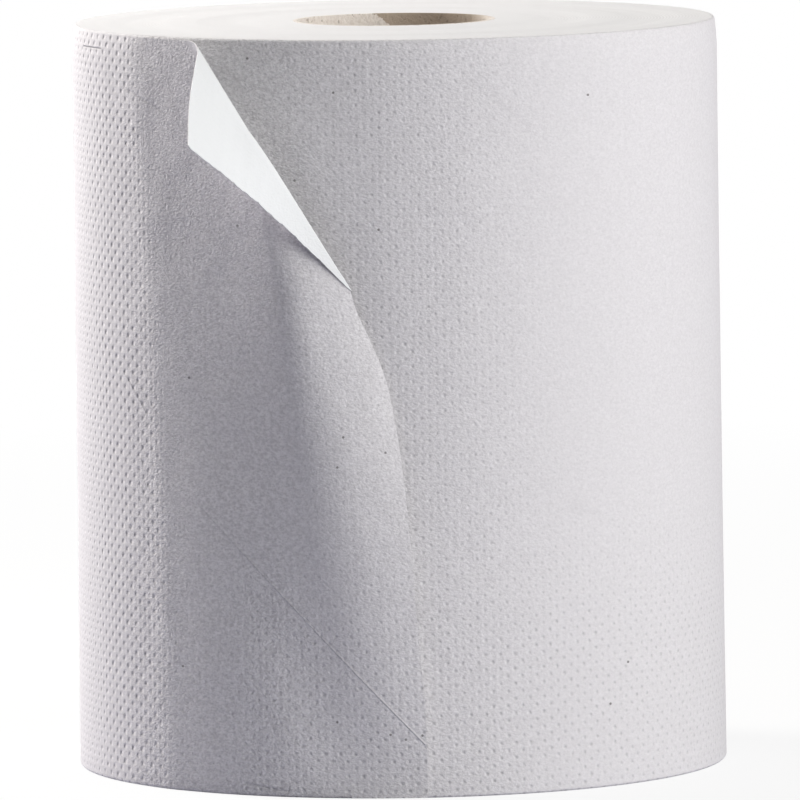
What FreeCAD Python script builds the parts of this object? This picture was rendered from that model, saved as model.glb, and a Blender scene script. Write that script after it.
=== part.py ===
import FreeCAD, Part
import math
import os

from FreeCAD import Vector

# A wound roll of embossed hand towel on a thin card core, standing on its end.
# Millimetres. The origin is on the axis at the foot, +Z runs up the axis, and the loose
# end of the web faces -Y. Angles are seen from above, from the front (-Y) towards +X.

# The wound roll
WEB_WIDTH = 210.0
ROLL_RADIUS = 91.0
RIM_ROUNDING = 0.8
SHEET_THICKNESS = 0.3

# The core
CORE_BORE_RADIUS = 27.5
CORE_WALL = 1.0

# The ends of the turns: rings of them stand a little proud of the next, in both end faces
SUNK_RINGS = 2
RING_STEP = 0.4
RING_SLOPE = 0.3

# The loose outer end, in evenly spaced levels from the foot to where the corner folds over
LIFT_OFF_DEGREES = (9.0, 18.0, 25.0, 31.0, 35.0, 39.0, 42.0)
CREST_X = (-4.0, -6.5, -12.0, -17.5, -22.0, -27.0, -30.5)
CREST_WIDTH = (12.0, 14.0, 17.0, 17.0, 15.5, 13.0, 9.5)
FLANK_DEGREES = (-2.0, -1.0, -1.0, -1.0, 0.0, 0.5, 1.0)
FLANK_RADIUS = (160.0, 120.0, 95.0, 72.0, 54.0, 47.0, 43.0)
FREE_EDGE_X = (6.5, 6.2, 4.3, 2.7, 0.4, -3.9, -12.9)
END_FOOT = 0.2
END_TOP_DROP = 0.6
ROOT_SINK = 0.5

# The top corner of the loose end, folded over towards the front
FOLD_DROP = 69.0
FOLD_TOP_DEGREES = 39.5
TOP_LIFT_OFF_DEGREES = 50.0
CREST_LEAN = 0.2
CORNER_DEGREES = 26.0
CORNER_STAND_OFF = 40.0
CORNER_DROP = 26.2
CUT_EDGE_BOW = 1.2
CURL_REACH = 6.0
FOLD_TIP = 0.03

# How finely the loose end's faces are drawn and worked out
STRAIGHT_COLUMNS = 2
CREST_COLUMNS = 2
FLANK_COLUMNS = 2
LEVELS_BELOW_FOLD = 4
LEVELS_OF_FOLD = 3
CURL_COLUMNS = 3
FLAP_COLUMNS = 2
SEAM_TOLERANCE = 0.02
SLOPE_STEP = 0.25
EDGE_HALVINGS = 50

CORE_RADIUS = CORE_BORE_RADIUS + CORE_WALL
END_TOP = WEB_WIDTH - END_TOP_DROP
FOLD_FOOT = WEB_WIDTH - FOLD_DROP


def blend(values, x):
    """A smooth curve through evenly spaced values, where x runs from 0 to 1."""
    last = len(values) - 1
    place = min(max(x, 0.0), 1.0) * last
    k = min(int(place), last - 1)
    t = place - k
    before = values[max(k - 1, 0)]
    start = values[k]
    end = values[k + 1]
    after = values[min(k + 2, last)]
    slope_in = (end - before) / 2.0
    slope_out = (after - start) / 2.0
    rise = end - start
    square = 3 * rise - 2 * slope_in - slope_out
    cube = slope_in + slope_out - 2 * rise
    return start + t * slope_in + t ** 2 * square + t ** 3 * cube


def fold_share(z):
    """0 at the foot of the fold and 1 at the top of the loose end."""
    return max(z - FOLD_FOOT, 0.0) / (END_TOP - FOLD_FOOT)


def section(z):
    """The loose end's plan curve at height z: a straight run, a crest and a wider bend after it."""
    level = (z - END_FOOT) / (FOLD_FOOT - END_FOOT)
    lift_off = -blend(LIFT_OFF_DEGREES, level)
    lift_off += (LIFT_OFF_DEGREES[-1] - TOP_LIFT_OFF_DEGREES) * fold_share(z)
    lift_off = math.radians(lift_off)
    crest_x = blend(CREST_X, level) - CREST_LEAN * max(z - FOLD_FOOT, 0.0)
    width = blend(CREST_WIDTH, level)
    flank = math.radians(blend(FLANK_DEGREES, level))
    root_x = (ROLL_RADIUS - ROOT_SINK) * math.sin(lift_off)
    straight = (crest_x - root_x) / math.cos(lift_off) - width / 2.0
    return lift_off, straight, width, flank, blend(FLANK_RADIUS, level)


def sheet_point(u, z):
    """A point on the front of the loose end, u along the web from where it leaves the roll."""
    lift_off, straight, width, flank, wide = section(z)
    radius = width / (flank - lift_off)
    run = min(u, straight)
    turned = lift_off + min(max(u - straight, 0.0), width) / radius
    last = flank + max(u - straight - width, 0.0) / wide
    foot = ROLL_RADIUS - ROOT_SINK
    x = foot * math.sin(lift_off) + run * math.cos(lift_off)
    y = -foot * math.cos(lift_off) + run * math.sin(lift_off)
    x += radius * (math.sin(turned) - math.sin(lift_off)) + wide * (math.sin(last) - math.sin(flank))
    y += radius * (math.cos(lift_off) - math.cos(turned)) + wide * (math.cos(flank) - math.cos(last))
    return Vector(x, y, z)


def sheet_along(u, z):
    """The direction of the web at a point of the loose end."""
    lift_off, straight, width, flank, wide = section(z)
    turned = lift_off + (flank - lift_off) * min(max(u - straight, 0.0), width) / width
    turned += max(u - straight - width, 0.0) / wide
    return Vector(math.cos(turned), math.sin(turned), 0)


def sheet_normal(u, z):
    """The outward normal of the loose end."""
    rise = sheet_point(u, z + SLOPE_STEP) - sheet_point(u, z - SLOPE_STEP)
    return sheet_along(u, z).cross(rise).normalize()


def edge_x(z):
    """Where the loose end stops: the free edge, and above it the fold line."""
    if z <= FOLD_FOOT:
        return blend(FREE_EDGE_X, (z - END_FOOT) / (FOLD_FOOT - END_FOOT))
    top_x = -ROLL_RADIUS * math.sin(math.radians(FOLD_TOP_DEGREES))
    return FREE_EDGE_X[-1] + (top_x - FREE_EDGE_X[-1]) * fold_share(z)


def edge_u(z):
    """The length of web from the roll to the free edge or fold line, found by halving."""
    target = edge_x(z)
    low = 0.0
    high = 2.0 * ROLL_RADIUS
    for _ in range(EDGE_HALVINGS):
        middle = (low + high) / 2.0
        if sheet_point(middle, z).x < target:
            low = middle
        else:
            high = middle
    return low


def corner_point():
    """The tip of the folded corner."""
    angle = math.radians(CORNER_DEGREES)
    reach = ROLL_RADIUS + CORNER_STAND_OFF
    return Vector(-reach * math.sin(angle), -reach * math.cos(angle), WEB_WIDTH - CORNER_DROP)


def flap_row(share):
    """One row of the folded corner, from the fold line round the curl to the cut edge.

    share is 0 at the foot of the fold and 1 at the top. Each point comes with its normal.
    """
    z = FOLD_FOOT + share * (END_TOP - FOLD_FOOT)
    u = edge_u(z)
    fold = sheet_point(u, z)
    along = sheet_along(u, z)
    size = FOLD_TIP + (1 - FOLD_TIP) * share
    fold_foot = sheet_point(edge_u(FOLD_FOOT), FOLD_FOOT)
    cut = fold_foot + (corner_point() - fold_foot) * size
    cut.z += CUT_EDGE_BOW * math.sin(math.pi * size)
    knee = fold + along * CURL_REACH * size
    out = (cut - knee).normalize()
    curl_end = knee + out * CURL_REACH * size
    above = z + SLOPE_STEP
    below = z - SLOPE_STEP
    rise = sheet_point(edge_u(above), above) - sheet_point(edge_u(below), below)
    row = [(fold, sheet_normal(u, z))]
    for k in range(CURL_COLUMNS):
        t = (k + 1) / CURL_COLUMNS
        point = fold * (1 - t) ** 2 + knee * 2 * t * (1 - t) + curl_end * t ** 2
        direction = along * (1 - t) + out * t
        row.append((point, direction.cross(rise).normalize()))
    for k in range(FLAP_COLUMNS):
        point = curl_end + (cut - curl_end) * ((k + 1) / FLAP_COLUMNS)
        row.append((point, out.cross(rise).normalize()))
    return row


def column_shares(z):
    """Where the columns stand along the web, closer together round the crest."""
    level = min(z, FOLD_FOOT)
    lift_off, straight, width, flank, wide = section(level)
    length = edge_u(level)
    stops = (0.0, straight, straight + width, length)
    shares = [0.0]
    for start, stop, count in zip(stops, stops[1:], (STRAIGHT_COLUMNS, CREST_COLUMNS, FLANK_COLUMNS)):
        shares += [(start + (stop - start) * (k + 1) / count) / length for k in range(count)]
    return shares


def sheet_row(z):
    """One row of the loose end, from the roll to the free edge or fold line, with normals."""
    length = edge_u(z)
    return [(sheet_point(share * length, z), sheet_normal(share * length, z)) for share in column_shares(z)]


def even_knots(count, degree):
    """Even knots and their multiplicities for a curve that runs from its first pole to its last."""
    knots = list(range(count - degree + 1))
    return knots, [degree + 1] + [1] * (len(knots) - 2) + [degree + 1]


def spline_face(poles, row_degree=3):
    """A smooth face drawn by rows of poles."""
    row_knots, row_repeats = even_knots(len(poles), row_degree)
    column_knots, column_repeats = even_knots(len(poles[0]), 3)
    surface = Part.BSplineSurface()
    surface.buildFromPolesMultsKnots(
        poles, row_repeats, column_repeats, row_knots, column_knots, False, False, row_degree, 3
    )
    return surface.toShape()


def behind(row):
    """The points on the back of the sheet behind a row of its front."""
    return [point - normal * SHEET_THICKNESS for point, normal in row]


def sheet_faces(rows):
    """The front and back faces of a patch of sheet."""
    front = [[point for point, normal in row] for row in rows]
    return [spline_face(front), spline_face([behind(row) for row in rows])]


def edge_strip(row):
    """The narrow face across the sheet's thickness along a border."""
    return spline_face([[point for point, normal in row], behind(row)], 1)


def loose_end():
    """The loose end and its folded corner, as one sheet of even thickness."""
    span = FOLD_FOOT - END_FOOT
    rise = END_TOP - FOLD_FOOT
    low = [sheet_row(END_FOOT + span * k / LEVELS_BELOW_FOLD) for k in range(LEVELS_BELOW_FOLD + 1)]
    high = [sheet_row(FOLD_FOOT + rise * k / LEVELS_OF_FOLD) for k in range(LEVELS_OF_FOLD + 1)]
    flap = [flap_row(k / LEVELS_OF_FOLD) for k in range(LEVELS_OF_FOLD + 1)]
    foot_and_top = [low[0], high[-1], flap[0], flap[-1]]
    roots = [[row[0] for row in low], [row[0] for row in high]]
    cut_edges = [[row[-1] for row in low], [row[-1] for row in flap]]
    faces = sheet_faces(low) + sheet_faces(high) + sheet_faces(flap)
    faces += [edge_strip(border) for border in foot_and_top + roots + cut_edges]
    sewn = Part.makeCompound(faces)
    sewn.sewShape(SEAM_TOLERANCE)
    return Part.Solid(sewn.Shells[0])


def wound_web():
    """The wound turns as one body, with some rings of turns sunk a little in both end faces."""
    outer = ROLL_RADIUS
    ring = (outer - CORE_RADIUS) / (2 * SUNK_RINGS + 1)
    outline = [(CORE_RADIUS, 0.0)]
    for k in range(SUNK_RINGS):
        start = CORE_RADIUS + ring * (2 * k + 1)
        outline += [(start, 0.0), (start + RING_SLOPE, RING_STEP)]
        outline += [(start + ring - RING_SLOPE, RING_STEP), (start + ring, 0.0)]
    outline += [(outer - RIM_ROUNDING, 0.0), (outer, RIM_ROUNDING)]
    upper = [(r, WEB_WIDTH - z) for r, z in reversed(outline)]
    points = [Vector(r, 0, z) for r, z in outline + upper]
    wire = Part.makePolygon(points + [points[0]])
    return Part.Face(wire).revolve(Vector(0, 0, 0), Vector(0, 0, 1), 360)


def paper_roll():
    """The wound web with its loose end, one continuous sheet and so one solid."""
    return wound_web().fuse(loose_end()).Solids[0]


def core_tube():
    """The card tube that the web is wound on."""
    tube = Part.makeCylinder(CORE_RADIUS, WEB_WIDTH)
    return tube.cut(Part.makeCylinder(CORE_BORE_RADIUS, WEB_WIDTH))


os.makedirs("parts", exist_ok=True)
paper_roll().exportStep("parts/paper_roll.step")
core_tube().exportStep("parts/core_tube.step")
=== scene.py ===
import math

import bpy
import numpy as np
from mathutils import Matrix, Vector


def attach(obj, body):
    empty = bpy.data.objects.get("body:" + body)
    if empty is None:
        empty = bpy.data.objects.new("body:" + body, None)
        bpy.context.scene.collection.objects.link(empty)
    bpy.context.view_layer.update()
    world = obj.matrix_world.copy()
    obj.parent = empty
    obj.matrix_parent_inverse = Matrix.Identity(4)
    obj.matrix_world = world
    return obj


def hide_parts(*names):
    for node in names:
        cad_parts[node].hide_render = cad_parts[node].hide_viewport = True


# Looks of the paper towel roll. Millimetres here, metres in the scene. The roll stands on z = 0,
# and the loose end of the web faces -Y. Values that the solids also have are the same ones, except
# for softer shoulders on the rings and a folded corner that hangs a little lower and sags.

MM = 0.001

# The wound roll and its core
WEB_WIDTH = 210.0
ROLL_RADIUS = 91.0
RIM_ROUNDING = 0.8
SHEET_THICKNESS = 0.3
CORE_RADIUS = 28.5
SUNK_RINGS = 2
RING_STEP = 0.4
RING_SHOULDER = 8.0
RIM_DRAW_IN = 0.7
RIM_DRAW_IN_DEPTH = 9.0
RIM_FADE = 4.0
TURN_UNEVENNESS = 0.07
TURN_WAVES = (1.7, 2.9, 4.3, 7.9)
WALL_UNEVENNESS = 0.12
WALL_WAVES = (37.0, 83.0, 140.0)
SWELLS_ROUND = 3
SWELL_SHARE = 0.4
FOOT_SPREAD = 0.7
SPREAD_FROM_RADIUS = 40.0

# The loose outer end, in evenly spaced levels from the foot to where the corner folds over
LIFT_OFF_DEGREES = (9.0, 18.0, 25.0, 31.0, 35.0, 39.0, 42.0)
CREST_X = (-4.0, -6.5, -12.0, -17.5, -22.0, -27.0, -30.5)
CREST_WIDTH = (12.0, 14.0, 17.0, 17.0, 15.5, 13.0, 9.5)
FLANK_DEGREES = (-2.0, -1.0, -1.0, -1.0, 0.0, 0.5, 1.0)
FLANK_RADIUS = (160.0, 120.0, 95.0, 72.0, 54.0, 47.0, 43.0)
FREE_EDGE_X = (6.5, 6.2, 4.3, 2.7, 0.4, -3.9, -12.9)
END_FOOT = 0.2
END_TOP = 209.4
EDGE_WAVE = 0.16
EDGE_WAVES = (3.1, 7.3, 17.0)
EDGE_WAVE_FADE = 6.0

# The top corner of the loose end, folded over towards the front
FOLD_FOOT = 141.0
FOLD_TOP_DEGREES = 39.5
TOP_LIFT_OFF_DEGREES = 50.0
CREST_LEAN = 0.2
CORNER_DEGREES = 25.7
CORNER_STAND_OFF = 40.0
CORNER_DROP = 26.9
CUT_EDGE_BOW = 1.2
CUT_EDGE_SAG = 4.5
CURL_REACH = 6.0
FOLD_TIP = 0.03
CUT_EDGE_LENGTH = 80.0
CUT_EDGE_WAVE = 0.4
CUT_EDGE_WAVES = (3.1, 6.3, 17.0)
SIDE_EDGE_BOW = 0.8
SIDE_EDGE_SHARPNESS = 6
CORNER_BEVEL = 0.5

# The embossing, in rows that stand half a pitch off the next
PITS_ROUND = 134
PIT_PITCH_ALONG = 2 * math.pi * ROLL_RADIUS / PITS_ROUND
PIT_PITCH_UP = 4.13
PIT_SHARPNESS = (8.0, 3.8)
PIT_RIM_SHARPNESS = 1.8
PIT_RIM_SHARE = 0.4
PIT_DEPTH = 0.45
# How strongly the pits' hollows are painted darker, as painted shade
PIT_PAINTED_SHADE = 0.32
PIT_WANDER = 0.8
PIT_PATCH = 7.0
PIT_PATCH_DEPTHS = (0.3, 1.7)

# How deep the pits are round the roll: degrees from the front and the strength there
PITS_BY_DEGREES = (
    (-180.0, 0.7), (-110.0, 0.7), (-78.0, 0.3), (-62.0, 1.15), (-47.0, 1.1), (-43.0, 0.25), (-30.0, 0.2),
    (-15.0, 0.28), (0.0, 0.46), (16.0, 0.38), (32.0, 0.12), (110.0, 0.08), (160.0, 0.7), (180.0, 0.7),
)
PRESSED_LEAN_DEGREES = 8.0
RIDGE_DEGREES = -45.5
RIDGE_WITHIN_DEGREES = 3.0
RIDGE_HEIGHT = 0.3
SHEET_PITS = 0.25
FOOT_PITS = 0.58
FOOT_PITS_TOP = 92.0
FOOT_PITS_FADE = 50.0
BACK_PITS = 0.05

# The paper's own unevenness: fibres, soft cockles and the edges of the turns
FIBRE_LENGTH = 0.75
FIBRE_STRETCH = (1.0, 1.0, 1.5)
FIBRE_DEPTH = 0.11
FIBRE_SHADE = 1.25
FIBRE_SHADE_LENGTH = 1.15
FIBRE_SHADE_ROUGHNESS = 0.82
FIBRES_BY_DEGREES = ((-60.0, 0.6), (-46.0, 3.3), (-22.0, 3.5), (-12.0, 2.1), (10.0, 1.8), (30.0, 0.9))
COCKLE_LENGTH = 15.0
COCKLE_DEPTH = 0.3
TURN_PITCH = 0.9
TURN_EDGE_DEPTH = 0.015
FACE_FIBRES = 0.25

# The creases that the photo shows on the front: x and z of both ends, then width and height
# Each crease's height also sets how dark its painted shade is
CREASES = (
    (-56.0, 80.4, 6.1, 15.2, 0.24, 0.16),
    (-75.4, 195.3, -64.6, 189.4, 0.35, -0.15),
    (-76.3, 114.7, -70.2, 104.2, 0.3, 0.12),
    (-87.2, 205.2, -81.9, 205.3, 0.25, -0.3),
    (20.7, 198.5, 37.1, 184.1, 1.6, -0.05),
    (47.0, 79.5, 55.4, 76.1, 1.2, -0.05),
    (-44.1, 3.4, -31.6, 1.6, 0.4, -0.2),
)
SPECK_RADIUS = 0.34
SPECKS = (
    (-40.6, 204.8), (-17.0, 195.6), (-28.0, 171.3), (-5.0, 157.7), (-43.9, 158.8), (-58.1, 115.6),
    (-15.5, 100.9), (-3.9, 96.4), (-17.2, 92.6), (-18.2, 21.3), (-3.5, 18.0), (0.7, 16.6), (5.3, 17.7),
    (-61.0, 34.9), (53.3, 193.0), (62.8, 34.3), (57.7, 23.2),
)

# Colours
PAPER_DARK = (0.71, 0.69, 0.70, 1)
PAPER_PALE = (0.97, 0.95, 0.96, 1)
# Painted shade for the pits' hollows and along the creases
PAINTED_SHADE_COLOUR = (0.30, 0.29, 0.31, 1)
# The back of the sheet, painted paler and cooler than the front as painted light on the folded corner
SHEET_BACK_AND_PAINTED_LIGHT = (0.92, 0.935, 0.94, 1)
TURN_EDGE_PAPER = (0.85, 0.847, 0.85, 1)
SPECK_COLOUR = (0.10, 0.09, 0.08, 1)
SPECK_STRENGTH = 0.7
CARD_BROWN = (0.50, 0.42, 0.34, 1)
CARD_PALE = (0.94, 0.89, 0.84, 1)
CARD_FLECK = (0.25, 0.20, 0.16, 1)
PAPER_ROUGHNESS = 0.95
PAPER_SPECULAR = 0.04
CARD_ROUGHNESS = 0.9
CARD_SPECULAR = 0.2

# The card of the core
CARD_FIBRE_LENGTH = 0.9
CARD_FIBRE_DEPTH = 0.4
CARD_FIBRE_SHADE = 0.8
CARD_FLECK_LENGTH = 1.4
CARD_FLECK_LEVEL = 0.66
CARD_FLECK_STRENGTH = 0.6
CARD_SEAM_RISE = 120.0
CARD_SEAM_START = 0.27
CARD_SEAM_ROUGHNESS = 0.03
CARD_BROWN_SHARE = (0.17, 0.26)

# The camera, fitted to the outline of the roll
CAMERA_PLACE = (0.0, -3426.0, 425.5)
CAMERA_AIM = (0.3, 0.0, 102.0)
CAMERA_LENS = 547.0
CAMERA_ROLL_DEGREES = 0.74
SENSOR_WIDTH = 36.0
CAMERA_CLIP = (0.1, 30.0)

# The lamps: name, degrees round from the front, degrees up, metres away, size, watts and colour
LAMPS = (
    ("left_behind", -120, 22, 1.6, (0.5, 1.2), 25, (1.0, 0.965, 0.93)),
    ("left_high", -125, 45, 0.7, (0.35, 0.35), 2.2, (1.0, 0.975, 0.95)),
    ("right", 56, 18, 2.0, (2.2, 1.8), 44, (1.0, 0.993, 0.975)),
    ("top_left", -45, 75, 0.6, (0.2, 0.2), 0.33, (1.0, 0.99, 0.98)),
)
LAMP_AIM = (0.0, 0.0, 0.1)

# The rest of the studio, with the floor's reach in metres and its shadow's in millimetres
WORLD_COLOUR = (0.90, 0.93, 1.12, 1)
WORLD_STRENGTH = 0.02
BACKGROUND = (1, 1, 1, 1)
FLOOR_REACH = 6.0
FLOOR_SEEN = (0.95, 0.95, 0.95, 1)
FLOOR_BOUNCE = (0.43, 0.44, 0.53, 1)
FLOOR_GLOW = 0.87
SHADOW_REACH = (250.0, 1000.0)

# How finely the surfaces are drawn
ROUND_STEPS = 300
RIM_STEPS = 6
WALL_STEPS = 56
FACE_STEPS = 60
SHEET_COLUMNS = 84
CREST_START_SHARE = 0.35
CREST_STOP_SHARE = 0.7
SHEET_ROWS = 110
FOLD_ROWS = 60
CURL_COLUMNS = 12
FLAP_COLUMNS = 34
HALVINGS = 40


def blend(values, x):
    """A smooth curve through evenly spaced values, where x runs from 0 to 1."""
    values = np.array(values, float)
    last = len(values) - 1
    place = np.clip(x, 0.0, 1.0) * last
    k = np.minimum(place.astype(int), last - 1)
    t = place - k
    before = values[np.maximum(k - 1, 0)]
    start = values[k]
    end = values[k + 1]
    after = values[np.minimum(k + 2, last)]
    slope_in = (end - before) / 2.0
    slope_out = (after - start) / 2.0
    rise = end - start
    square = 3 * rise - 2 * slope_in - slope_out
    cube = slope_in + slope_out - 2 * rise
    return start + t * slope_in + t ** 2 * square + t ** 3 * cube


def fold_share(z):
    """0 at the foot of the fold and 1 at the top of the loose end."""
    return np.maximum(z - FOLD_FOOT, 0.0) / (END_TOP - FOLD_FOOT)


def section(z):
    """The loose end's plan curve at height z: a straight run, a crest and a wider bend after it."""
    level = (z - END_FOOT) / (FOLD_FOOT - END_FOOT)
    lift_off = -blend(LIFT_OFF_DEGREES, level)
    lift_off = lift_off + (LIFT_OFF_DEGREES[-1] - TOP_LIFT_OFF_DEGREES) * fold_share(z)
    lift_off = np.radians(lift_off)
    crest_x = blend(CREST_X, level) - CREST_LEAN * np.maximum(z - FOLD_FOOT, 0.0)
    width = blend(CREST_WIDTH, level)
    flank = np.radians(blend(FLANK_DEGREES, level))
    root_x = ROLL_RADIUS * np.sin(lift_off)
    straight = (crest_x - root_x) / np.cos(lift_off) - width / 2.0
    return lift_off, straight, width, flank, blend(FLANK_RADIUS, level)


def sheet_points(u, z):
    """Points on the front of the loose end, u along the web from where it leaves the roll."""
    lift_off, straight, width, flank, wide = section(z)
    radius = width / (flank - lift_off)
    run = np.minimum(u, straight)
    turned = lift_off + np.clip(u - straight, 0.0, width) / radius
    last = flank + np.maximum(u - straight - width, 0.0) / wide
    x = ROLL_RADIUS * np.sin(lift_off) + run * np.cos(lift_off)
    y = -ROLL_RADIUS * np.cos(lift_off) + run * np.sin(lift_off)
    x = x + radius * (np.sin(turned) - np.sin(lift_off)) + wide * (np.sin(last) - np.sin(flank))
    y = y + radius * (np.cos(lift_off) - np.cos(turned)) + wide * (np.cos(flank) - np.cos(last))
    return np.stack([x, y, z + 0 * x], -1)


def sheet_along(u, z):
    """The direction of the web at points of the loose end."""
    lift_off, straight, width, flank, wide = section(z)
    turned = lift_off + (flank - lift_off) * np.clip(u - straight, 0.0, width) / width
    turned = turned + np.maximum(u - straight - width, 0.0) / wide
    return np.stack([np.cos(turned), np.sin(turned), 0 * turned], -1)


def edge_x(z):
    """Where the loose end stops: the free edge, and above it the fold line."""
    free = blend(FREE_EDGE_X, (z - END_FOOT) / (FOLD_FOOT - END_FOOT))
    top_x = -ROLL_RADIUS * math.sin(math.radians(FOLD_TOP_DEGREES))
    fold = FREE_EDGE_X[-1] + (top_x - FREE_EDGE_X[-1]) * fold_share(z)
    return np.where(z <= FOLD_FOOT, free, fold)


def edge_u(z):
    """The length of web from the roll to the free edge or fold line, found by halving."""
    target = edge_x(z)
    low = np.zeros_like(z)
    high = np.full_like(z, 2.0 * ROLL_RADIUS)
    for _ in range(HALVINGS):
        middle = (low + high) / 2.0
        short = sheet_points(middle, z)[..., 0] < target
        low = np.where(short, middle, low)
        high = np.where(short, high, middle)
    return low


def ripple(x, lengths, seed):
    """A sum of sine waves of these lengths, between about -1 and 1."""
    phases = np.random.default_rng(seed).uniform(0, 2 * math.pi, len(lengths))
    waves = [np.sin(2 * math.pi * x / length + phase) for length, phase in zip(lengths, phases)]
    return sum(waves) / len(lengths)


def grid_normals(points):
    """The outward normal at each point of a grid that runs along the web and then up."""
    along = np.gradient(points, axis=1)
    rise = np.gradient(points, axis=0)
    normals = np.cross(along, rise)
    return normals / np.linalg.norm(normals, axis=-1, keepdims=True)


def spread_foot(points):
    """The roll stands a little wider at its foot than at its top."""
    radius = np.hypot(points[:, 0], points[:, 1])
    share = np.clip((radius - SPREAD_FROM_RADIUS) / SPREAD_FROM_RADIUS, 0, 1)
    push = FOOT_SPREAD * (1 - points[:, 2] / WEB_WIDTH) ** 2 * share
    return points * np.stack([1 + push / ROLL_RADIUS, 1 + push / ROLL_RADIUS, np.ones_like(push)], -1)


def pit_strength(degrees, z):
    """How deep the pits are round the roll: whole on the left and the back, pressed flat in front."""
    leaned = degrees + PRESSED_LEAN_DEGREES * (z / WEB_WIDTH) ** 2
    return np.maximum(np.interp(leaned, *zip(*PITS_BY_DEGREES)), foot_pits(z))


def foot_pits(z):
    """The pits show again where the roll is pressed less, near its foot."""
    return FOOT_PITS * np.clip((FOOT_PITS_TOP - z) / FOOT_PITS_FADE, 0, 1)


def pressed_fibres(degrees):
    """The fibres stand out most where the front is pressed flat."""
    return np.interp(degrees, *zip(*FIBRES_BY_DEGREES))


class Skin:
    """Collects grids of points into one mesh, with the web's own coordinates at every face corner."""

    def __init__(self):
        self.points = []
        self.web = []
        self.look = []
        self.faces = []
        self.count = 0

    def add(self, points, web, emboss, turns, fibres=1.0, back=0.0, closed=False):
        """A grid in rows; web holds the distance along and up the web, and closed joins the row ends."""
        rows, columns = points.shape[:2]
        index = self.count + np.arange(rows * columns).reshape(rows, columns)
        right = np.roll(index, -1, axis=1) if closed else index[:, 1:]
        left = index if closed else index[:, :-1]
        quads = np.stack([left[:-1], right[:-1], right[1:], left[1:]], -1)
        self.points.append(points.reshape(-1, 3))
        even = np.zeros_like(points[..., 0])
        flat = np.stack([web[..., 0], web[..., 1], back + even], -1).reshape(-1, 3)
        corners = flat[quads - self.count]
        if closed:
            corners[:, -1, 1:3, 0] += 2 * math.pi * ROLL_RADIUS
        self.web.append(corners.reshape(-1, 3))
        self.look.append(np.stack([emboss + even, turns + even, fibres + even], -1).reshape(-1, 3))
        self.faces.append(quads.reshape(-1, 4))
        self.count += rows * columns

    def build(self, name):
        points = spread_foot(np.concatenate(self.points)) * MM
        faces = np.concatenate(self.faces)
        mesh = bpy.data.meshes.new(name)
        mesh.vertices.add(len(points))
        mesh.vertices.foreach_set("co", points.ravel())
        mesh.loops.add(faces.size)
        mesh.loops.foreach_set("vertex_index", faces.ravel())
        mesh.polygons.add(len(faces))
        mesh.polygons.foreach_set("loop_start", np.arange(len(faces)) * 4)
        mesh.polygons.foreach_set("use_smooth", np.ones(len(faces), bool))
        for label, domain, values in (("web", "CORNER", self.web), ("look", "POINT", self.look)):
            attribute = mesh.attributes.new(label, "FLOAT_VECTOR", domain)
            attribute.data.foreach_set("vector", np.concatenate(values).ravel().astype(np.float32))
        mesh.update(calc_edges=True)
        mesh.validate()
        piece = bpy.data.objects.new(name, mesh)
        bpy.context.scene.collection.objects.link(piece)
        return piece


def shoulder(x):
    """A soft step from 0 to 1, as wide as the shoulder of a ring."""
    t = np.clip(x / RING_SHOULDER + 0.5, 0, 1)
    return t ** 2 * (3 - 2 * t)


def face_profile():
    """Radius and depth of one end face, from the core to the rim, with its sunk rings."""
    outer = ROLL_RADIUS - RIM_ROUNDING
    ring = (ROLL_RADIUS - CORE_RADIUS) / (2 * SUNK_RINGS + 1)
    radii = np.linspace(CORE_RADIUS, outer, FACE_STEPS)
    uneven = TURN_UNEVENNESS * (1 + ripple(radii, TURN_WAVES, seed=3))
    sunk = uneven * np.clip((outer - radii) / RIM_FADE, 0, 1)
    for k in range(SUNK_RINGS):
        start = CORE_RADIUS + ring * (2 * k + 1)
        sunk = sunk + RING_STEP * (shoulder(radii - start) - shoulder(radii - start - ring))
    return radii, sunk


def add_wound_roll(skin):
    """The wound turns: both end faces, the rims and the wall, drawn round the axis."""
    angles = np.linspace(-math.pi, math.pi, ROUND_STEPS, endpoint=False)
    radii, depths = face_profile()
    arc = np.radians(np.linspace(0, 90, RIM_STEPS))[1:-1]
    rim_r = ROLL_RADIUS - RIM_ROUNDING + RIM_ROUNDING * np.sin(arc)
    rim_z = RIM_ROUNDING - RIM_ROUNDING * np.cos(arc)
    wall_z = np.linspace(RIM_ROUNDING, WEB_WIDTH - RIM_ROUNDING, WALL_STEPS)
    wall_r = np.full(WALL_STEPS, ROLL_RADIUS)
    r = np.concatenate([radii, rim_r, wall_r, rim_r[::-1], radii[::-1]])
    z = np.concatenate([depths, rim_z, wall_z, WEB_WIDTH - rim_z[::-1], WEB_WIDTH - depths[::-1]])
    near_top = np.clip((z - WEB_WIDTH + RIM_DRAW_IN_DEPTH) / RIM_DRAW_IN_DEPTH, 0, 1)
    is_wall = np.clip((r - ROLL_RADIUS + RIM_FADE) / RIM_FADE, 0, 1)
    r = r - RIM_DRAW_IN * near_top ** 2 * is_wall
    uneven = WALL_UNEVENNESS * ripple(z, WALL_WAVES, seed=5) * is_wall
    a = angles[None, :]
    swell = uneven[:, None] * (1 - SWELL_SHARE + SWELL_SHARE * np.sin(SWELLS_ROUND * a))
    leaned = np.degrees(a) + PRESSED_LEAN_DEGREES * (z[:, None] / WEB_WIDTH) ** 2
    ridge = RIDGE_HEIGHT * np.exp(-((leaned - RIDGE_DEGREES) / RIDGE_WITHIN_DEGREES) ** 2)
    radius = r[:, None] + swell + ridge * is_wall[:, None]
    points = np.stack([radius * np.sin(a), -radius * np.cos(a), z[:, None] + 0 * a], -1)
    face = np.concatenate([np.ones(len(radii)), np.zeros(len(r) - 2 * len(radii)), np.ones(len(radii))])
    web = np.stack([ROLL_RADIUS * a + 0 * radius, z[:, None] + 0 * radius], -1)
    wall = 1.0 - face[:, None]
    emboss = wall * pit_strength(np.degrees(a), z[:, None])
    fibres = wall * pressed_fibres(np.degrees(a)) + FACE_FIBRES * face[:, None]
    skin.add(points, web, emboss, face[:, None], fibres, closed=True)


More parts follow.
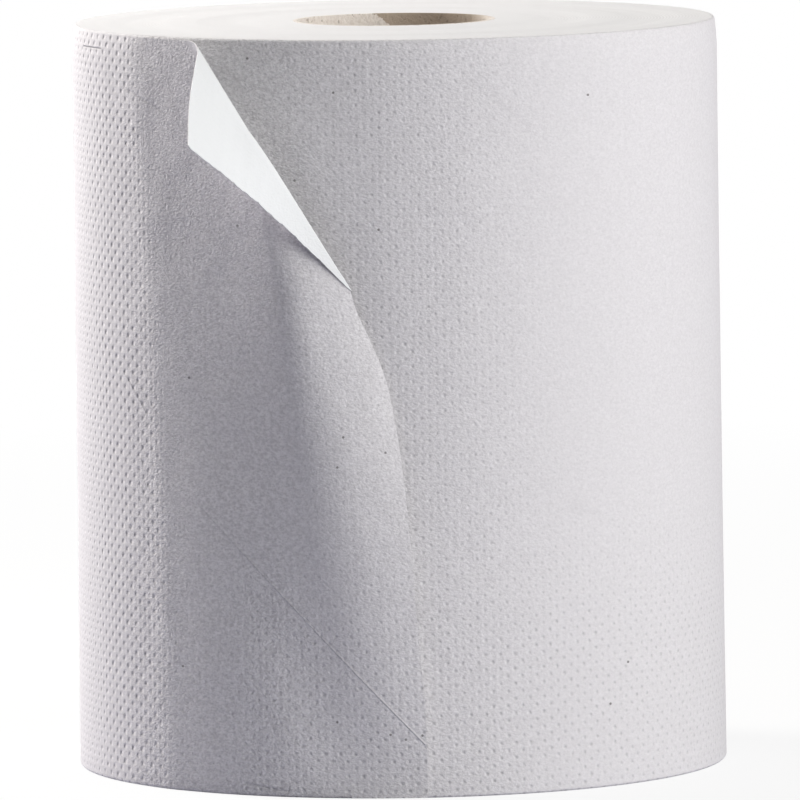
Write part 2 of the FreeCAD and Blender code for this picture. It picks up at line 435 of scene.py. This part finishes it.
def add_sheet(skin, front, web, emboss, fibres):
    """A patch of sheet with its other side and the narrow strips along its four borders."""
    back = front - grid_normals(front) * SHEET_THICKNESS
    skin.add(front, web, emboss, 0.0, fibres)
    skin.add(back[:, ::-1], web[:, ::-1], BACK_PITS, 0.0, back=1.0)
    for cut in (np.s_[:, -1], np.s_[::-1, 0], np.s_[0], np.s_[-1, ::-1]):
        strip = np.stack([front[cut], back[cut]], 1)
        skin.add(strip, np.stack([web[cut], web[cut]], 1), 0.0, 0.0)


def sheet_columns(z):
    """Where the columns stand along the web, closer together round the crest."""
    lift_off, straight, width, flank, wide = section(np.minimum(z, FOLD_FOOT))
    length = edge_u(np.minimum(z, FOLD_FOOT))
    t = np.linspace(0, 1, SHEET_COLUMNS)[None, :]
    crest_start = (straight / length)[:, None]
    crest_stop = ((straight + width) / length)[:, None]
    crest_share = CREST_STOP_SHARE - CREST_START_SHARE
    low = crest_start * np.clip(t / CREST_START_SHARE, 0, 1)
    middle = (crest_stop - crest_start) * np.clip((t - CREST_START_SHARE) / crest_share, 0, 1)
    high = (1 - crest_stop) * np.clip((t - CREST_STOP_SHARE) / (1 - CREST_STOP_SHARE), 0, 1)
    return low + middle + high


def add_loose_end(skin):
    """The loose end from where it leaves the roll to its free edge and fold line."""
    low = np.linspace(END_FOOT, FOLD_FOOT, SHEET_ROWS)
    high = np.linspace(FOLD_FOOT, END_TOP, FOLD_ROWS)[1:]
    z = np.concatenate([low, high])
    length = edge_u(z)
    wave = EDGE_WAVE * ripple(z, EDGE_WAVES, seed=11) * np.clip((FOLD_FOOT - z) / EDGE_WAVE_FADE, 0, 1)
    u = sheet_columns(z) * (length + wave)[:, None]
    levels = z[:, None] + 0 * u
    front = sheet_points(u, levels)
    lift_off = section(levels)[0]
    web = np.stack([ROLL_RADIUS * lift_off + u, levels], -1)
    fibres = pressed_fibres(np.degrees(np.arctan2(front[..., 0], -front[..., 1])))
    add_sheet(skin, front, web, np.maximum(SHEET_PITS, foot_pits(levels)), fibres)


def flap_rows():
    """The folded corner, from the fold line round the curl to the cut edge."""
    share = np.linspace(0, 1, FOLD_ROWS)
    z = FOLD_FOOT + share * (END_TOP - FOLD_FOOT)
    u = edge_u(z)
    fold = sheet_points(u, z)
    along = sheet_along(u, z)
    size = (FOLD_TIP + (1 - FOLD_TIP) * share)[:, None]
    angle = math.radians(CORNER_DEGREES)
    reach = ROLL_RADIUS + CORNER_STAND_OFF
    corner = np.array([-reach * math.sin(angle), -reach * math.cos(angle), WEB_WIDTH - CORNER_DROP])
    cut = fold[0] + (corner - fold[0]) * size
    cut[:, 2] += CUT_EDGE_BOW * np.sin(math.pi * size[:, 0])
    cut[:, 1] += CUT_EDGE_SAG * np.sin(math.pi * size[:, 0])
    wave = ripple(share * CUT_EDGE_LENGTH, CUT_EDGE_WAVES, seed=17)
    cut[:, 2] += CUT_EDGE_WAVE * wave * np.sin(math.pi * share)
    cut[-1, 2] += CORNER_BEVEL
    knee = fold + along * CURL_REACH * size
    out = cut - knee
    out = out / np.linalg.norm(out, axis=-1, keepdims=True)
    curl_end = knee + out * CURL_REACH * size
    rows = []
    for t in np.linspace(0, 1, CURL_COLUMNS):
        rows.append(fold * (1 - t) ** 2 + knee * 2 * t * (1 - t) + curl_end * t ** 2)
    for t in np.linspace(0, 1, FLAP_COLUMNS)[1:]:
        row = curl_end + (cut - curl_end) * t
        row[:, 0] -= SIDE_EDGE_BOW * math.sin(math.pi * t) * share ** SIDE_EDGE_SHARPNESS
        rows.append(row)
    return np.stack(rows, 1)


def add_folded_corner(skin):
    """The folded corner, with the web's coordinates carried on from the fold line."""
    front = flap_rows()
    steps = np.linalg.norm(np.diff(front, axis=1), axis=-1)
    run = np.concatenate([np.zeros((len(front), 1)), np.cumsum(steps, axis=1)], axis=1)
    z = np.linspace(FOLD_FOOT, END_TOP, FOLD_ROWS)
    start = ROLL_RADIUS * section(z)[0] + edge_u(z)
    web = np.stack([start[:, None] + run, z[:, None] + 0 * run], -1)
    add_sheet(skin, front, web, SHEET_PITS, 1.0)


class Nodes:
    """Short ways to make and join shader nodes."""

    def __init__(self, name):
        self.material = bpy.data.materials.new(name)
        self.material.use_nodes = True
        self.tree = self.material.node_tree
        self.shader = self.tree.nodes["Principled BSDF"]

    def feed(self, socket, value):
        if isinstance(value, bpy.types.NodeSocket):
            self.tree.links.new(value, socket)
        else:
            socket.default_value = value

    def math(self, operation, *values):
        node = self.tree.nodes.new("ShaderNodeMath")
        node.operation = operation
        for k, value in enumerate(values):
            self.feed(node.inputs[k], value)
        return node.outputs[0]

    def product(self, *values):
        total = values[0]
        for value in values[1:]:
            total = self.math("MULTIPLY", total, value)
        return total

    def total(self, *values):
        total = values[0]
        for value in values[1:]:
            total = self.math("ADD", total, value)
        return total

    def split(self, vector):
        node = self.tree.nodes.new("ShaderNodeSeparateXYZ")
        self.feed(node.inputs[0], vector)
        return node.outputs

    def attribute(self, name):
        node = self.tree.nodes.new("ShaderNodeAttribute")
        node.attribute_name = name
        return self.split(node.outputs["Vector"])

    def place(self):
        """The point's own place on the roll, in millimetres."""
        node = self.tree.nodes.new("ShaderNodeTexCoord")
        scale = self.tree.nodes.new("ShaderNodeVectorMath")
        scale.operation = "SCALE"
        self.feed(scale.inputs[0], node.outputs["Object"])
        scale.inputs["Scale"].default_value = 1.0 / MM
        return scale.outputs[0]

    def stretch(self, vector, factors):
        node = self.tree.nodes.new("ShaderNodeVectorMath")
        node.operation = "MULTIPLY"
        self.feed(node.inputs[0], vector)
        node.inputs[1].default_value = factors
        return node.outputs[0]

    def noise(self, vector, length, detail=3.0, roughness=0.5):
        """Soft noise from 0 to 1 with features about this long, in millimetres."""
        node = self.tree.nodes.new("ShaderNodeTexNoise")
        self.feed(node.inputs["Vector"], vector)
        node.inputs["Scale"].default_value = 1.0 / length
        node.inputs["Detail"].default_value = detail
        node.inputs["Roughness"].default_value = roughness
        return node.outputs["Fac"]

    def gap(self, vector, spot):
        """The distance from a vector to a fixed spot."""
        node = self.tree.nodes.new("ShaderNodeVectorMath")
        node.operation = "DISTANCE"
        self.feed(node.inputs[0], vector)
        node.inputs[1].default_value = spot
        return node.outputs["Value"]

    def mix(self, share, first, second):
        node = self.tree.nodes.new("ShaderNodeMix")
        node.data_type = "RGBA"
        self.feed(node.inputs[0], share)
        self.feed(node.inputs[6], first)
        self.feed(node.inputs[7], second)
        return node.outputs[2]

    def ramp(self, value, reach, start=0.0):
        """Rises from start to 1 while the value goes through its reach."""
        node = self.tree.nodes.new("ShaderNodeMapRange")
        self.feed(node.inputs["Value"], value)
        node.inputs["From Min"].default_value, node.inputs["From Max"].default_value = reach
        node.inputs["To Min"].default_value = start
        return node.outputs["Result"]

    def dull(self, roughness, specular):
        self.shader.inputs["Roughness"].default_value = roughness
        self.shader.inputs["Specular IOR Level"].default_value = specular

    def bump(self, height):
        """Bends the normal by a height in millimetres."""
        node = self.tree.nodes.new("ShaderNodeBump")
        node.inputs["Strength"].default_value = 1.0
        node.inputs["Distance"].default_value = MM
        self.feed(node.inputs["Height"], height)
        self.feed(self.shader.inputs["Normal"], node.outputs[0])


def pits(nodes, along, up, wander, emboss):
    """The embossed pits: the hollow, 1 at its middle, and the relief, with a low rim round each."""
    shallow, deep = PIT_SHARPNESS
    sharpness = nodes.math("MULTIPLY_ADD", emboss, deep - shallow, shallow)
    along = nodes.total(along, wander)
    across = nodes.math("COSINE", nodes.product(along, 2 * math.pi / PIT_PITCH_ALONG))
    upward = nodes.math("COSINE", nodes.product(up, 2 * math.pi / PIT_PITCH_UP))
    waves = nodes.math("MULTIPLY_ADD", nodes.product(across, upward), 0.5, 0.5)
    hollow = nodes.math("POWER", waves, sharpness)
    rim = nodes.product(nodes.math("POWER", waves, PIT_RIM_SHARPNESS), PIT_RIM_SHARE)
    return hollow, nodes.math("SUBTRACT", rim, hollow)


def turn_edges(nodes, x, y):
    """The edges of the wound turns, as fine rings round the axis."""
    radius = nodes.math("SQRT", nodes.total(nodes.product(x, x), nodes.product(y, y)))
    return nodes.math("SINE", nodes.product(radius, 2 * math.pi / TURN_PITCH))


def crease(nodes, x, z, line):
    """The height of one thin crease along a straight line on the front."""
    start_x, start_z, stop_x, stop_z, width, height = line
    length = math.hypot(stop_x - start_x, stop_z - start_z)
    run_x = (stop_x - start_x) / length
    run_z = (stop_z - start_z) / length
    from_x = nodes.math("SUBTRACT", x, start_x)
    from_z = nodes.math("SUBTRACT", z, start_z)
    across = nodes.total(nodes.product(from_x, -run_z / width), nodes.product(from_z, run_x / width))
    travelled = nodes.total(nodes.product(from_x, run_x), nodes.product(from_z, run_z))
    ridge = nodes.math("EXPONENT", nodes.product(across, across, -1.0))
    started = nodes.math("GREATER_THAN", travelled, 0.0)
    running = nodes.math("LESS_THAN", travelled, length)
    return nodes.product(ridge, started, running, height)


def specks(nodes, x, z):
    """The small dark specks in the pulp, 1 inside each."""
    flat = nodes.tree.nodes.new("ShaderNodeCombineXYZ")
    nodes.feed(flat.inputs[0], x)
    nodes.feed(flat.inputs[1], z)
    dark = 0.0
    for across, up in SPECKS:
        gap = nodes.gap(flat.outputs[0], (across, up, 0))
        dark = nodes.total(dark, nodes.math("LESS_THAN", gap, SPECK_RADIUS))
    return dark


def towel_material():
    """White towel: pits, fibres, creases and specks, with the turns' edges on both ends. The pits'
    hollows and the creases carry painted shade, and the sheet's back is painted paler as painted light
    on the folded corner.
    """
    nodes = Nodes("towel_paper")
    along, up, back = nodes.attribute("web")
    emboss, turns, pressed = nodes.attribute("look")
    place = nodes.place()
    x, y, z = nodes.split(place)
    front = nodes.math("LESS_THAN", y, 0.0)
    drawn_out = nodes.stretch(place, FIBRE_STRETCH)
    fibres = nodes.noise(drawn_out, FIBRE_LENGTH, detail=2.0)
    patches = nodes.noise(place, PIT_PATCH, detail=1.0)
    cockles = nodes.noise(place, COCKLE_LENGTH, detail=2.0)
    hollow, relief = pits(nodes, along, up, nodes.product(patches, PIT_WANDER), emboss)
    least, most = PIT_PATCH_DEPTHS
    depth = nodes.product(emboss, nodes.math("MULTIPLY_ADD", patches, most - least, least))
    creased = nodes.product(nodes.total(*[crease(nodes, x, z, line) for line in CREASES]), front)
    nodes.bump(nodes.total(
        nodes.product(relief, depth, PIT_DEPTH),
        nodes.product(fibres, pressed, FIBRE_DEPTH),
        nodes.product(cockles, pressed, COCKLE_DEPTH),
        nodes.product(turn_edges(nodes, x, y), turns, TURN_EDGE_DEPTH),
        creased,
    ))
    fine = nodes.noise(drawn_out, FIBRE_SHADE_LENGTH, roughness=FIBRE_SHADE_ROUGHNESS)
    contrast = nodes.product(pressed, FIBRE_SHADE)
    shade = nodes.math("MULTIPLY_ADD", nodes.math("SUBTRACT", fine, 0.5), contrast, 0.5)
    paper = nodes.mix(shade, PAPER_DARK, PAPER_PALE)
    paper = nodes.mix(turns, paper, TURN_EDGE_PAPER)
    # The sheet's back: its own colour, painted paler as painted light on the folded corner
    paper = nodes.mix(back, paper, SHEET_BACK_AND_PAINTED_LIGHT)
    # Painted shade: the pits' hollows are darkened
    paper = nodes.mix(nodes.product(hollow, hollow, depth, PIT_PAINTED_SHADE), paper, PAINTED_SHADE_COLOUR)
    # Painted shade along the creases
    paper = nodes.mix(nodes.math("ABSOLUTE", creased), paper, PAINTED_SHADE_COLOUR)
    dark = nodes.product(specks(nodes, x, z), front, SPECK_STRENGTH)
    nodes.feed(nodes.shader.inputs["Base Color"], nodes.mix(dark, paper, SPECK_COLOUR))
    nodes.dull(PAPER_ROUGHNESS, PAPER_SPECULAR)
    return nodes.material


def card_material():
    """Spiral-wound card: brown in a band that winds round the core and pale elsewhere, with fibres and
    dark flecks.
    """
    nodes = Nodes("core_card")
    place = nodes.place()
    x, y, z = nodes.split(place)
    fibres = nodes.noise(place, CARD_FIBRE_LENGTH, detail=5.0)
    turned = nodes.product(nodes.math("ARCTAN2", x, y), 1 / (2 * math.pi))
    risen = nodes.product(z, 1 / CARD_SEAM_RISE)
    uneven = nodes.product(fibres, CARD_SEAM_ROUGHNESS)
    wound = nodes.math("FRACT", nodes.total(turned, risen, uneven, CARD_SEAM_START))
    pale = nodes.ramp(wound, CARD_BROWN_SHARE)
    card = nodes.mix(pale, CARD_BROWN, CARD_PALE)
    spots = nodes.noise(place, CARD_FLECK_LENGTH, detail=2.0)
    fleck = nodes.math("GREATER_THAN", spots, CARD_FLECK_LEVEL)
    card = nodes.mix(nodes.product(fleck, CARD_FLECK_STRENGTH), card, CARD_FLECK)
    card = nodes.mix(nodes.product(fibres, fibres, CARD_FIBRE_SHADE), card, CARD_BROWN)
    nodes.feed(nodes.shader.inputs["Base Color"], card)
    nodes.bump(nodes.product(fibres, CARD_FIBRE_DEPTH))
    nodes.dull(CARD_ROUGHNESS, CARD_SPECULAR)
    return nodes.material


def make_camera():
    camera = bpy.data.objects.new("camera", bpy.data.cameras.new("camera"))
    bpy.context.scene.collection.objects.link(camera)
    camera.data.lens = CAMERA_LENS
    camera.data.sensor_width = SENSOR_WIDTH
    camera.data.clip_start, camera.data.clip_end = CAMERA_CLIP
    place = Vector(CAMERA_PLACE) * MM
    look = Vector(CAMERA_AIM) * MM - place
    turn = look.to_track_quat("-Z", "Y").to_matrix().to_4x4()
    roll = Matrix.Rotation(math.radians(-CAMERA_ROLL_DEGREES), 4, "Z")
    camera.matrix_world = Matrix.Translation(place) @ turn @ roll
    bpy.context.scene.camera = camera


def area_light(name, azimuth, elevation, distance, size, watts, colour):
    """A soft light aimed at the roll. Azimuth 0 is the front and 90 the right."""
    data = bpy.data.lights.new(name, "AREA")
    data.shape = "RECTANGLE"
    data.size, data.size_y = size
    data.energy = watts
    data.color = colour
    lamp = bpy.data.objects.new(name, data)
    bpy.context.scene.collection.objects.link(lamp)
    a = math.radians(azimuth)
    e = math.radians(elevation)
    away = Vector((math.sin(a) * math.cos(e), -math.cos(a) * math.cos(e), math.sin(e)))
    lamp.location = away * distance + Vector(LAMP_AIM)
    lamp.rotation_mode = "QUATERNION"
    lamp.rotation_quaternion = (-away).to_track_quat("-Z", "Y")


def make_lights():
    for lamp in LAMPS:
        area_light(*lamp)


def sees_background(tree):
    """1 for the rays that show the pale background: those of the camera, of mirrors and of glass."""
    path = tree.nodes.new("ShaderNodeLightPath")
    sees = path.outputs["Is Camera Ray"]
    for kind in ("Is Glossy Ray", "Is Transmission Ray"):
        either = tree.nodes.new("ShaderNodeMath")
        either.operation = "MAXIMUM"
        tree.links.new(sees, either.inputs[0])
        tree.links.new(path.outputs[kind], either.inputs[1])
        sees = either.outputs[0]
    return sees


def white_to_camera(nodes, seen):
    """The floor keeps the shadow near the roll and is white further out, where it is seen."""
    tree = nodes.tree
    glow = tree.nodes.new("ShaderNodeEmission")
    glow.inputs["Strength"].default_value = 1.0
    away = nodes.ramp(nodes.gap(nodes.place(), (0, 0, 0)), SHADOW_REACH, FLOOR_GLOW)
    pale = tree.nodes.new("ShaderNodeMixShader")
    choice = tree.nodes.new("ShaderNodeMixShader")
    output = tree.nodes["Material Output"].inputs["Surface"]
    tree.links.new(away, pale.inputs[0])
    tree.links.new(seen, pale.inputs[1])
    tree.links.new(glow.outputs[0], pale.inputs[2])
    tree.links.new(sees_background(tree), choice.inputs[0])
    tree.links.new(nodes.shader.outputs[0], choice.inputs[1])
    tree.links.new(pale.outputs[0], choice.inputs[2])
    tree.links.new(choice.outputs[0], output)


def make_floor():
    """The pale floor, whose bounce is bluer and darker than what the camera sees of it."""
    mesh = bpy.data.meshes.new("floor")
    reach = FLOOR_REACH
    corners = [(-reach, -reach, 0), (reach, -reach, 0), (reach, reach, 0), (-reach, reach, 0)]
    mesh.from_pydata(corners, [], [(0, 1, 2, 3)])
    floor = bpy.data.objects.new("floor", mesh)
    bpy.context.scene.collection.objects.link(floor)
    nodes = Nodes("floor")
    nodes.shader.inputs["Base Color"].default_value = FLOOR_BOUNCE
    nodes.dull(1.0, 0.0)
    seen = nodes.tree.nodes.new("ShaderNodeBsdfDiffuse")
    seen.inputs["Color"].default_value = FLOOR_SEEN
    white_to_camera(nodes, seen.outputs[0])
    mesh.materials.append(nodes.material)


def make_world():
    """A dim world for the light, and a white one where the background is seen."""
    world = bpy.data.worlds.new("studio")
    world.use_nodes = True
    bpy.context.scene.world = world
    tree = world.node_tree
    dim = tree.nodes["Background"]
    dim.inputs["Color"].default_value = WORLD_COLOUR
    dim.inputs["Strength"].default_value = WORLD_STRENGTH
    bright = tree.nodes.new("ShaderNodeBackground")
    bright.inputs["Color"].default_value = BACKGROUND
    mix = tree.nodes.new("ShaderNodeMixShader")
    tree.links.new(sees_background(tree), mix.inputs[0])
    tree.links.new(dim.outputs[0], mix.inputs[1])
    tree.links.new(bright.outputs[0], mix.inputs[2])
    tree.links.new(mix.outputs[0], tree.nodes["World Output"].inputs["Surface"])


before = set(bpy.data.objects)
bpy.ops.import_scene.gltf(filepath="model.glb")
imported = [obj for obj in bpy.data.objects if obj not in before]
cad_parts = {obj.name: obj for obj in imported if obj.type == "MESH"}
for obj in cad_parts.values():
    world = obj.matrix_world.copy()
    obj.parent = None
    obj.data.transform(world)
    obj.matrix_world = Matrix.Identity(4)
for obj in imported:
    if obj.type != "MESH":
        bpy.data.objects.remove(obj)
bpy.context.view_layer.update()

skin = Skin()
add_wound_roll(skin)
add_loose_end(skin)
add_folded_corner(skin)
paper = skin.build("paper_web")
paper.data.materials.append(towel_material())
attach(paper, "root")
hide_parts("paper_roll")

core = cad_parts["core_tube"]
core.data.materials.clear()
core.data.materials.append(card_material())

make_camera()
make_lights()
make_floor()
make_world()
bpy.context.scene.view_settings.view_transform = "Standard"
